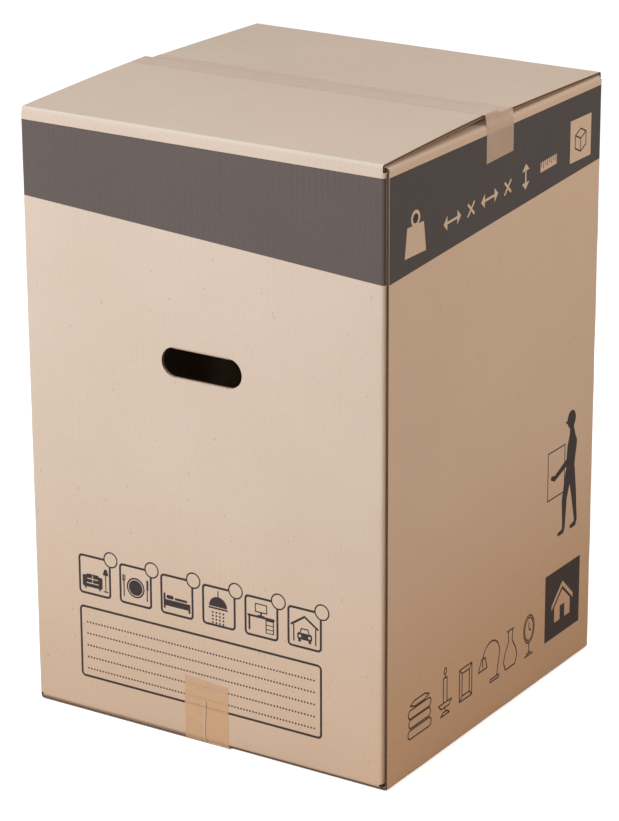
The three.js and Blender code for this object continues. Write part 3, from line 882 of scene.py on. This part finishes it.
def bottomTape(material):
    half = tapes["width"] / 2
    across = np.linspace(-half, half, tapes["rows"])
    paths = []
    for x in across:
        climb = tapes["bottomClimb"] - tapes["bottomSkew"] * x / half
        corners = tapeCorners(halfDepth, -climb, tapes["foldStart"] - wallBottom, -baseLevel, 0.1)
        paths.append(tapePath(corners, tapes["step"]))
    count = min(len(path) for path in paths)
    spots = [
        (0.045, -0.08, 0.035, 0.05, 0.55, 0.03),
        (0.088, -0.02, 0.008, 0.22, 0.3, 0.6),
        (0.093, -0.2, 0.006, 0.15, 0.25, -0.5),
        (0.95, 0.2, 0.03, 0.06, 0.4, 0.1),
    ]
    bulge = wrinkles(count, len(across), 3, spots)
    middle = slice(int(count * 0.13), int(count * 0.87))
    bulge[middle] = 0.0
    # The path was walked with height turned over, so x, run and level are put back in place.
    inner, outer = tapeGrid(paths, across, bulge)
    for grid in (inner, outer):
        run, x, level = grid[..., 0].copy(), grid[..., 1].copy(), -grid[..., 2]
        grid[..., 0], grid[..., 1], grid[..., 2] = x, run, np.maximum(level, 0.02)
    return gridSheet("bottom_seam_tape", outer[:, ::-1], inner[:, ::-1], material)


handTabs = {
    "bendGap": 0.3,
    "trim": 0.5,
    "short": 0.6,
    "sag": 0.0004,
    "bowShare": 0.9,
}


# A punched tab still hanging by its scored upper edge, folded in.
def handTab(wall, material):
    width, height = cutting["holeWidth"], cutting["holeHeight"]
    hinge = (width - height) / 2
    level = topLevel - cutting["holeBelowTop"] + height / 2 + cutting["nick"]
    bendRadius = t + handTabs["bendGap"]
    bend = bendRadius * quarter
    reach = height + cutting["nick"] - handTabs["short"]
    tip = height / 2 - handTabs["trim"]
    downs = np.concatenate([np.linspace(0, bend, 9), np.linspace(bend + 0.4, reach, 26)])
    shares = np.linspace(-1, 1, 61)
    inner, outer = (np.zeros((len(downs), len(shares), 3)) for _ in range(2))
    sign = -1 if wall == "front" else 1
    for i, down in enumerate(downs):
        fromTip = reach - down
        half = hinge + (math.sqrt(max(tip**2 - (tip - fromTip) ** 2, 0)) if fromTip < tip else tip)
        if down < bend:
            half = hinge
        turn = min(down / bendRadius, quarter)
        flat = max(down - bend, 0)
        sag = handTabs["sag"] * flat**2
        for grid, depth in ((outer, 0.0), (inner, t)):
            radius = bendRadius - depth
            inwards = bendRadius - radius * math.cos(turn) + flat
            grid[i, :, 0] = -sign * shares * half
            grid[i, :, 1] = sign * (halfDepth - inwards - walls[wall]["bow"] * handTabs["bowShare"])
            grid[i, :, 2] = level - radius * math.sin(turn) - sag
    return gridSheet(f"{wall}_hand_tab", inner, outer, material)


# One output of a node, which takes arithmetic as a number does.
class Wire:
    def __init__(self, shader, socket):
        self.shader, self.socket = shader, socket

    def maths(self, operation, *values):
        return self.shader.node("Math", {"operation": operation}, dict(enumerate(values)))["Value"]

    def __add__(self, other):
        return self.maths("ADD", self, other)

    def __sub__(self, other):
        return self.maths("SUBTRACT", self, other)

    def __rsub__(self, other):
        return self.maths("SUBTRACT", other, self)

    def __mul__(self, other):
        return self.maths("MULTIPLY", self, other)

    def __gt__(self, other):
        return self.maths("GREATER_THAN", self, other)

    def __lt__(self, other):
        return self.maths("LESS_THAN", self, other)

    def sine(self):
        return self.maths("SINE", self)

    def size(self):
        return self.maths("ABSOLUTE", self)

    __radd__, __rmul__ = __add__, __mul__


class Outputs:
    def __init__(self, shader, node):
        self.shader, self.made = shader, node

    def __getitem__(self, name):
        return Wire(self.shader, self.made.outputs[name])


class Shader:
    def __init__(self, name, owner=None):
        self.material = owner or bpy.data.materials.new(name)
        self.material.use_nodes = True
        self.tree = self.material.node_tree
        self.tree.nodes.clear()

    def node(self, kind, settings, values):
        made = self.tree.nodes.new("ShaderNode" + kind)
        for key, value in settings.items():
            setattr(made, key, value)
        for key, value in values.items():
            socket = made.inputs[key]
            if isinstance(value, Wire):
                self.tree.links.new(value.socket, socket)
            else:
                socket.default_value = value
        return Outputs(self, made)

    def place(self):
        return self.node("TexCoord", {}, {})["Object"]

    def noise(self, vector, scale, detail=3.0, rough=0.55):
        values = {"Vector": vector, "Scale": scale, "Detail": detail, "Roughness": rough}
        return self.node("TexNoise", {}, values)["Fac"]

    def stretched(self, vector, scale):
        return self.node("VectorMath", {"operation": "MULTIPLY"}, {0: vector, 1: scale})["Vector"]

    def mix(self, share, a, b, blend="MIX"):
        settings = {"data_type": "RGBA", "blend_type": blend}
        made = self.node("Mix", settings, {0: share, 6: a, 7: b})
        return Wire(self, made.made.outputs[2])

    def finish(self, settings, normal=None):
        if normal is not None:
            settings["Normal"] = normal
        surface = self.node("BsdfPrincipled", {}, settings)["BSDF"]
        self.node("OutputMaterial", {}, {"Surface": surface})
        return self.material


kraft = {
    "pale": (0.635, 0.472, 0.343, 1),
    "deep": (0.562, 0.406, 0.286, 1),
    # The next colour is partly cracked liner and partly painted highlight, for the dots along the lid's
    # folds.
    "crease": (0.60, 0.54, 0.44, 1),
    # The next two colours are painted shade, multiplied into the kraft towards the floor; the side walls
    # get the deeper second one.
    "foot": (0.98, 0.885, 0.785, 1),
    "sideFoot": (0.885, 0.74, 0.585, 1),
    "footHeight": 0.3,
    "fleckDark": (0.40, 0.27, 0.17, 1),
    "fleckLight": (0.70, 0.55, 0.42, 1),
    "darkFlecks": {"scale": 110.0, "radius": 0.085},
    "lightFlecks": {"scale": 170.0, "radius": 0.13},
    "dotHeight": 0.0005,
    "roughness": 0.82,
    "shine": 0.35,
    "bump": 0.00022,
}
printed = {
    # The band's one ink is painted in two copies, both lighter than the sign ink by a painted sheen: the
    # next one is painted light for the front and back walls, the one after it painted shade for the side
    # walls.
    "frontBand": {"colour": (0.100, 0.073, 0.061, 1), "worn": (0.133, 0.097, 0.078, 1), "roughness": 0.8},
    "sideBand": {"colour": (0.068, 0.060, 0.056, 1), "worn": (0.091, 0.079, 0.072, 1), "roughness": 0.8},
    "sign": {"colour": (0.034, 0.023, 0.020, 1), "worn": (0.060, 0.043, 0.037, 1), "roughness": 0.75},
    "shine": 0.12,
    "pinholes": {"scale": 260.0, "radius": 0.13},
}
cutEdges = {
    "liner": ((0.25, 0.145, 0.085, 1), (0.50, 0.335, 0.215, 1)),
    # The next colours are painted shade, for the depth of the flutes behind a cut edge.
    "hollow": ((0.05, 0.03, 0.018, 1), (0.11, 0.068, 0.04, 1)),
    "medium": ((0.13, 0.078, 0.045, 1), (0.27, 0.175, 0.108, 1)),
    "roughness": 0.9,
    "bump": 0.0003,
}


def flutePlace(shader, acrossY, waves=1.0):
    split = shader.node("SeparateXYZ", {}, {0: shader.place()})
    return split["Y" if acrossY else "X"] * (waves * 2 * math.pi / (board["flutePitch"] * mm))


# What the paper has under its print as well: the ribs of its flutes, fibres, clouds and relief. The ribs
# are relief in the bump, and painted shade of the washboard where they tint a colour.
def paper(shader, acrossY):
    place = shader.place()
    wave = flutePlace(shader, acrossY).sine()
    patchy = shader.noise(place, 16.0, 3.0)
    ribReliefAndShade = wave * ((patchy - 0.42) * 2.2)
    along = (1, 1, 0.25) if acrossY else (1, 1, 0.3)
    fibre = shader.noise(shader.stretched(place, along), 900.0, 4.0, 0.7)
    cloud = shader.noise(place, 7.0, 4.0)
    height = ribReliefAndShade * 0.26 + fibre * 0.3 + shader.noise(place, 190.0, 3.0) * 0.35
    bump = shader.node("Bump", {}, {"Strength": 1.0, "Distance": kraft["bump"], "Height": height})["Normal"]
    return place, ribReliefAndShade, fibre, cloud, bump


# Painted shade: the sheet is made a little deeper and warmer in tone towards the floor, more so on the side
# walls than on the front and back.
def paintedShadeTowardsFloor(shader, colour, foot):
    height = shader.node("SeparateXYZ", {}, {0: shader.place()})["Z"]
    settings = {"interpolation_type": "SMOOTHSTEP"}
    limits = {"From Min": kraft["footHeight"], "From Max": 0.0}
    share = shader.node("MapRange", settings, {"Value": height, **limits})["Result"]
    return shader.mix(share, colour, shader.mix(1.0, colour, foot, "MULTIPLY"))


# Partly painted highlight: a pale dotted line along the lid's front and back folds, the liner cracked over
# each flute and the light caught on each flute's bulge.
def creaseCracksAndHighlights(shader):
    height = shader.node("SeparateXYZ", {}, {0: shader.place()})["Z"]
    middle = (walls["front"]["top"] + r * math.sin(quarter * 0.62)) * mm
    near = (height - middle).size() < kraft["dotHeight"]
    dots = flutePlace(shader, False, 2.0).sine() * 0.32 + 0.5
    return near * dots


def flecks(shader, place, scale, radius):
    spots = shader.node("TexVoronoi", {}, {"Vector": place, "Scale": scale, "Randomness": 1.0})
    return (spots["Distance"] < radius) * (shader.noise(place, scale * 0.6, 1.0) > 0.53)


def kraftMaterial(name, acrossY):
    shader = Shader(name)
    place, ribReliefAndShade, fibre, cloud, bump = paper(shader, acrossY)
    grain = shader.noise(place, 300.0, 4.0, 0.65)
    # The flute ribs in this colour mix are painted shade of the washboard.
    share = cloud * 0.9 + fibre * 0.5 + grain * 0.9 + ribReliefAndShade * 0.10 - 0.65
    colour = shader.mix(share, kraft["deep"], kraft["pale"])
    light = flecks(shader, place, **kraft["lightFlecks"])
    colour = shader.mix(light * 0.35, colour, kraft["fleckLight"])
    dark = flecks(shader, shader.stretched(place, (1, 1, 0.5)), **kraft["darkFlecks"])
    colour = shader.mix(dark * 0.6, colour, kraft["fleckDark"])
    if not acrossY:
        # Pale crease dots, partly cracked liner and partly painted highlight, on the front and back walls'
        # folds only.
        colour = shader.mix(creaseCracksAndHighlights(shader), colour, kraft["crease"])
    # Painted shade: darker and warmer towards the floor, deeper on the side walls.
    colour = paintedShadeTowardsFloor(shader, colour, kraft["sideFoot" if acrossY else "foot"])
    look = {"Base Color": colour, "Roughness": kraft["roughness"], "Specular IOR Level": kraft["shine"]}
    return shader.finish(look, bump)


def inkMaterial(name, look, acrossY):
    shader = Shader(name)
    place, ribReliefAndShade, fibre, cloud, bump = paper(shader, acrossY)
    # The flute ribs in this colour mix are painted shade of the washboard.
    share = ribReliefAndShade * 0.22 + fibre * 0.9 + cloud * 0.5 - 0.3
    colour = shader.mix(share, look["colour"], look["worn"])
    pinholes = flecks(shader, place, **printed["pinholes"])
    colour = shader.mix(pinholes * 0.13, colour, kraft["deep"])
    settings = {"Base Color": colour, "Roughness": look["roughness"]}
    settings["Specular IOR Level"] = printed["shine"]
    return shader.finish(settings, bump)


def cutEdgeMaterial(name, dark, light):
    shader = Shader(name)
    fibre = shader.noise(shader.place(), 700.0, 3.0)
    colour = shader.mix(fibre, dark, light)
    relief = {"Strength": 0.6, "Distance": cutEdges["bump"], "Height": fibre}
    bump = shader.node("Bump", {}, relief)["Normal"]
    return shader.finish({"Base Color": colour, "Roughness": cutEdges["roughness"]}, bump)


tapeLook = {
    "colour": (0.68, 0.475, 0.305, 1),
    "milky": (0.745, 0.535, 0.37, 1),
    # The next colour is painted shade: the tape turns a deeper orange near the floor.
    "low": (0.775, 0.46, 0.225, 1),
    # The next colour is a painted sheen: the tape is paler over the lid.
    "high": (0.78, 0.56, 0.405, 1),
    # The next two colours are a painted highlight and a painted shadow along the bottom tape's wrinkle.
    "ridge": (0.80, 0.61, 0.43, 1),
    "valley": (0.20, 0.11, 0.055, 1),
    "lowLevels": {"From Min": 0.1, "From Max": 0.05},
    "highLevels": {"From Min": 0.606, "From Max": 0.611},
    "ridgePlace": -2.0,
    "ridgeTop": 46.0,
    "ridgeHalf": 0.0006,
    "valleyPlace": 0.0013,
    "valleyHalf": 0.0005,
    "alpha": 0.38,
    "roughness": 0.36,
}


def tapeMaterial():
    shader = Shader("packing_tape")
    place = shader.place()
    streak = shader.noise(shader.stretched(place, (0.25, 1, 1)), 60.0, 4.0)
    haze = shader.noise(place, 22.0, 3.0)
    colour = shader.mix(streak * 0.7 + haze * 0.5 - 0.2, tapeLook["colour"], tapeLook["milky"])
    alpha = haze * 0.16 + (tapeLook["alpha"] - 0.05)
    rough = streak * 0.22 + (tapeLook["roughness"] - 0.1)
    height = streak * 0.5 + haze * 1.4
    bump = shader.node("Bump", {}, {"Strength": 0.7, "Distance": 0.0006, "Height": height})["Normal"]
    split = shader.node("SeparateXYZ", {}, {0: place})
    # Painted shade: the tape turns a deeper orange below 10 cm, fully so below 5 cm.
    low = shader.node("MapRange", {}, {"Value": split["Z"], **tapeLook["lowLevels"]})["Result"]
    colour = shader.mix(low, colour, tapeLook["low"])
    # Painted sheen: the tape is made paler over the lid, from the top folds up.
    high = shader.node("MapRange", {}, {"Value": split["Z"], **tapeLook["highLevels"]})["Result"]
    colour = shader.mix(high * 0.85, colour, tapeLook["high"])
    # One standing wrinkle runs down the bottom tape's end to the fold, with a painted highlight along its
    # ridge and a painted shadow beside it.
    wobble = (split["Z"] * 110).sine() * 0.0006
    side = split["X"] - tapeLook["ridgePlace"] * mm + wobble
    level = split["Z"] < tapeLook["ridgeTop"] * mm
    # Painted highlight along the wrinkle's ridge.
    ridge = (side.size() < tapeLook["ridgeHalf"]) * level
    colour = shader.mix(ridge * 0.75, colour, tapeLook["ridge"])
    # Painted shadow beside the wrinkle's ridge.
    valley = ((side - tapeLook["valleyPlace"]).size() < tapeLook["valleyHalf"]) * level
    colour = shader.mix(valley * 0.8, colour, tapeLook["valley"])
    return shader.finish({"Base Color": colour, "Roughness": rough, "Alpha": alpha}, bump)


def makeCarton():
    sheet = Sheet()
    sheet.add("bare", blankOutline())
    sheet.add("band", bandOutline())
    bandSigns(sheet)
    carrierFigure(sheet)
    badge(sheet)
    lineIcons(sheet)
    writingPanel(sheet)
    roomTiles(sheet)
    handHoles(sheet)
    print("blank drawn:", len(sheet.layers), "outlines")
    points, kept = cutBlank(sheet)
    print("blank cut:", {kind: len(triangles) for kind, triangles in kept.items()}, "triangles")
    plain = [kraftMaterial("kraft_along_x", False), kraftMaterial("kraft_along_y", True)]
    inked = [
        # Lit and shaded copies of the band ink: painted light on the front and back walls, painted shade on
        # the side walls.
        inkMaterial("band_ink_lit_along_x", printed["frontBand"], False),
        inkMaterial("band_ink_shaded_along_y", printed["sideBand"], True),
        inkMaterial("sign_ink_along_x", printed["sign"], False),
        inkMaterial("sign_ink_along_y", printed["sign"], True),
    ]
    linerEdge = cutEdgeMaterial("cut_liner", *cutEdges["liner"])
    # Painted shade for the inside of the flutes.
    hollow = cutEdgeMaterial("painted_shade_in_flutes", *cutEdges["hollow"])
    medium = cutEdgeMaterial("fluted_paper", *cutEdges["medium"])
    piece, loops = foldBlank(points, kept, plain + inked + [linerEdge, hollow])
    films = [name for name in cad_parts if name.endswith("_print") or "_print_" in name]
    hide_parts("carton", *films)
    flutes = fluting(loops, medium)
    for wall in ("front", "back"):
        handTab(wall, plain[0])
    print("carton folded")


def makeTapes():
    material = tapeMaterial()
    over = topTape(material)
    under = bottomTape(material)
    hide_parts("top_tape")
    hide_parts("bottom_tape")
    print("tapes laid")


# The photograph's camera, worked out from the carton's seven visible corners.
view = {
    "place": (1.6665, -2.6117, 1.3932),
    "azimuth": 32.694,
    "elevation": 19.691,
    "roll": -0.278,
    "focalPixels": 3306.9,
    "frame": (619, 821),
}


def addCamera():
    data = bpy.data.cameras.new("camera")
    data.sensor_fit = "VERTICAL"
    data.sensor_height = 24.0
    data.lens = view["focalPixels"] / view["frame"][1] * data.sensor_height
    camera = bpy.data.objects.new("camera", data)
    bpy.context.scene.collection.objects.link(camera)
    azimuth, elevation, roll = (math.radians(view[key]) for key in ("azimuth", "elevation", "roll"))
    turn = Matrix.Rotation(azimuth, 4, "Z")
    turn = turn @ Matrix.Rotation(quarter - elevation, 4, "X")
    turn = turn @ Matrix.Rotation(roll, 4, "Z")
    camera.matrix_world = Matrix.Translation(view["place"]) @ turn
    bpy.context.scene.camera = camera


studio = {
    "floorSize": 4.0,
    "floorSeen": (0.93, 0.93, 0.93, 1),
    "floorGlow": (0.5, 0.5, 0.5, 1),
    "floorBounce": (0.40, 0.24, 0.11, 1),
    "sky": (0.485, 0.52, 0.57, 1),
    "lamps": (
        ("key", (-0.7, -2.25, 1.5), 71.0, 0.9, (0.673, 0.814, 1.0)),
        ("side", (1.7, 0.5, 1.55), 15.6, 0.9, (1.0, 0.89, 0.80)),
    ),
    "target": (0, 0, 0.3),
}


# One where the eye sees a thing, straight or in a reflection, and nought for its light on others.
def seenRays(shader):
    path = shader.node("LightPath", {}, {})
    return (path["Is Camera Ray"] + path["Is Glossy Ray"] + path["Is Transmission Ray"]) > 0.5


def addFloor():
    shader = Shader("studio_floor")
    seen = seenRays(shader)
    colour = shader.mix(seen, studio["floorBounce"], studio["floorSeen"])
    glow = shader.mix(seen, (0, 0, 0, 1), studio["floorGlow"])
    look = {"Base Color": colour, "Roughness": 0.9, "Emission Color": glow, "Emission Strength": 1.0}
    material = shader.finish(look)
    mesh = bpy.data.meshes.new("floor")
    size = studio["floorSize"]
    corners = [(-size, -size, 0), (size, -size, 0), (size, size, 0), (-size, size, 0)]
    mesh.from_pydata(corners, [], [(0, 1, 2, 3)])
    mesh.materials.append(material)
    floor = bpy.data.objects.new("floor", mesh)
    bpy.context.scene.collection.objects.link(floor)


def addLight():
    for name, place, power, size, colour in studio["lamps"]:
        data = bpy.data.lights.new(name, "AREA")
        data.energy = power
        data.size = size
        data.color = colour
        lamp = bpy.data.objects.new(name, data)
        lamp.location = place
        towards = Vector(place) - Vector(studio["target"])
        lamp.rotation_euler = towards.to_track_quat("Z", "Y").to_euler()
        bpy.context.scene.collection.objects.link(lamp)
    world = bpy.data.worlds.new("studio")
    world.use_nodes = True
    bpy.context.scene.world = world
    shader = Shader("studio", world)
    colour = shader.mix(seenRays(shader), studio["sky"], (1, 1, 1, 1))
    surface = shader.node("Background", {}, {"Color": colour})["Background"]
    shader.node("OutputWorld", {}, {"Surface": surface})
    bpy.context.scene.view_settings.view_transform = "Standard"


addCamera()
makeCarton()
makeTapes()
addFloor()
addLight()
print("studio lit")
